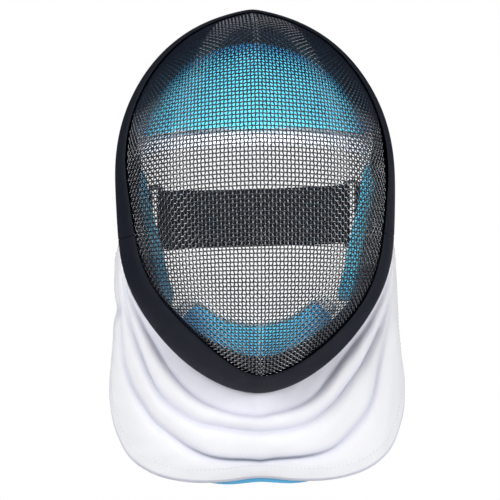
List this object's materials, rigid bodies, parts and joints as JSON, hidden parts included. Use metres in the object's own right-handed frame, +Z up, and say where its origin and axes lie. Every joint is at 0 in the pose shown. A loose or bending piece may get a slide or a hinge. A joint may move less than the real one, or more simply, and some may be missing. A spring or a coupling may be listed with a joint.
{
  "type": "fencing mask",
  "caption": "Fencing mask with a creased woven-wire face, a folded dark rim trim, a quilted white bib under the chin, padded blue lining and an elastic strap behind the head.",
  "frame": {"origin": "where the crown of the head bears on the lining, in the middle of the head's opening", "axes": "+Z up, the face looks along -Y, +X to the right of someone who looks at the face"},
  "size_m": [0.2332, 0.1864, 0.377],
  "materials": {
    "wire_cloth": "satin",
    "rim_trim": "satin",
    "bib_cloth": "matte",
    "blue_lining": "matte",
    "cover_cloth": "matte",
    "white_binding": "matte",
    "black_elastic": "matte",
    "ring_metal": "satin"
  },
  "bodies": {
    "root": {"wire_mesh_face": "wire_cloth", "upper_trim": "rim_trim", "chin_trim": "rim_trim", "bib": "bib_cloth", "bib_lining": "blue_lining", "crown_pad": "blue_lining", "crown_cover": "cover_cloth", "crown_binding": "white_binding", "side_pad_left": "blue_lining", "side_pad_right": "blue_lining", "side_flap_left": "white_binding", "side_flap_right": "white_binding", "chin_pad": "blue_lining", "chin_pad_binding": "white_binding", "back_strap": "black_elastic", "strap_ring_left": "ring_metal", "strap_ring_right": "ring_metal", "anchor_tab_left": "black_elastic", "anchor_tab_right": "black_elastic"}
  },
  "joints": []
}
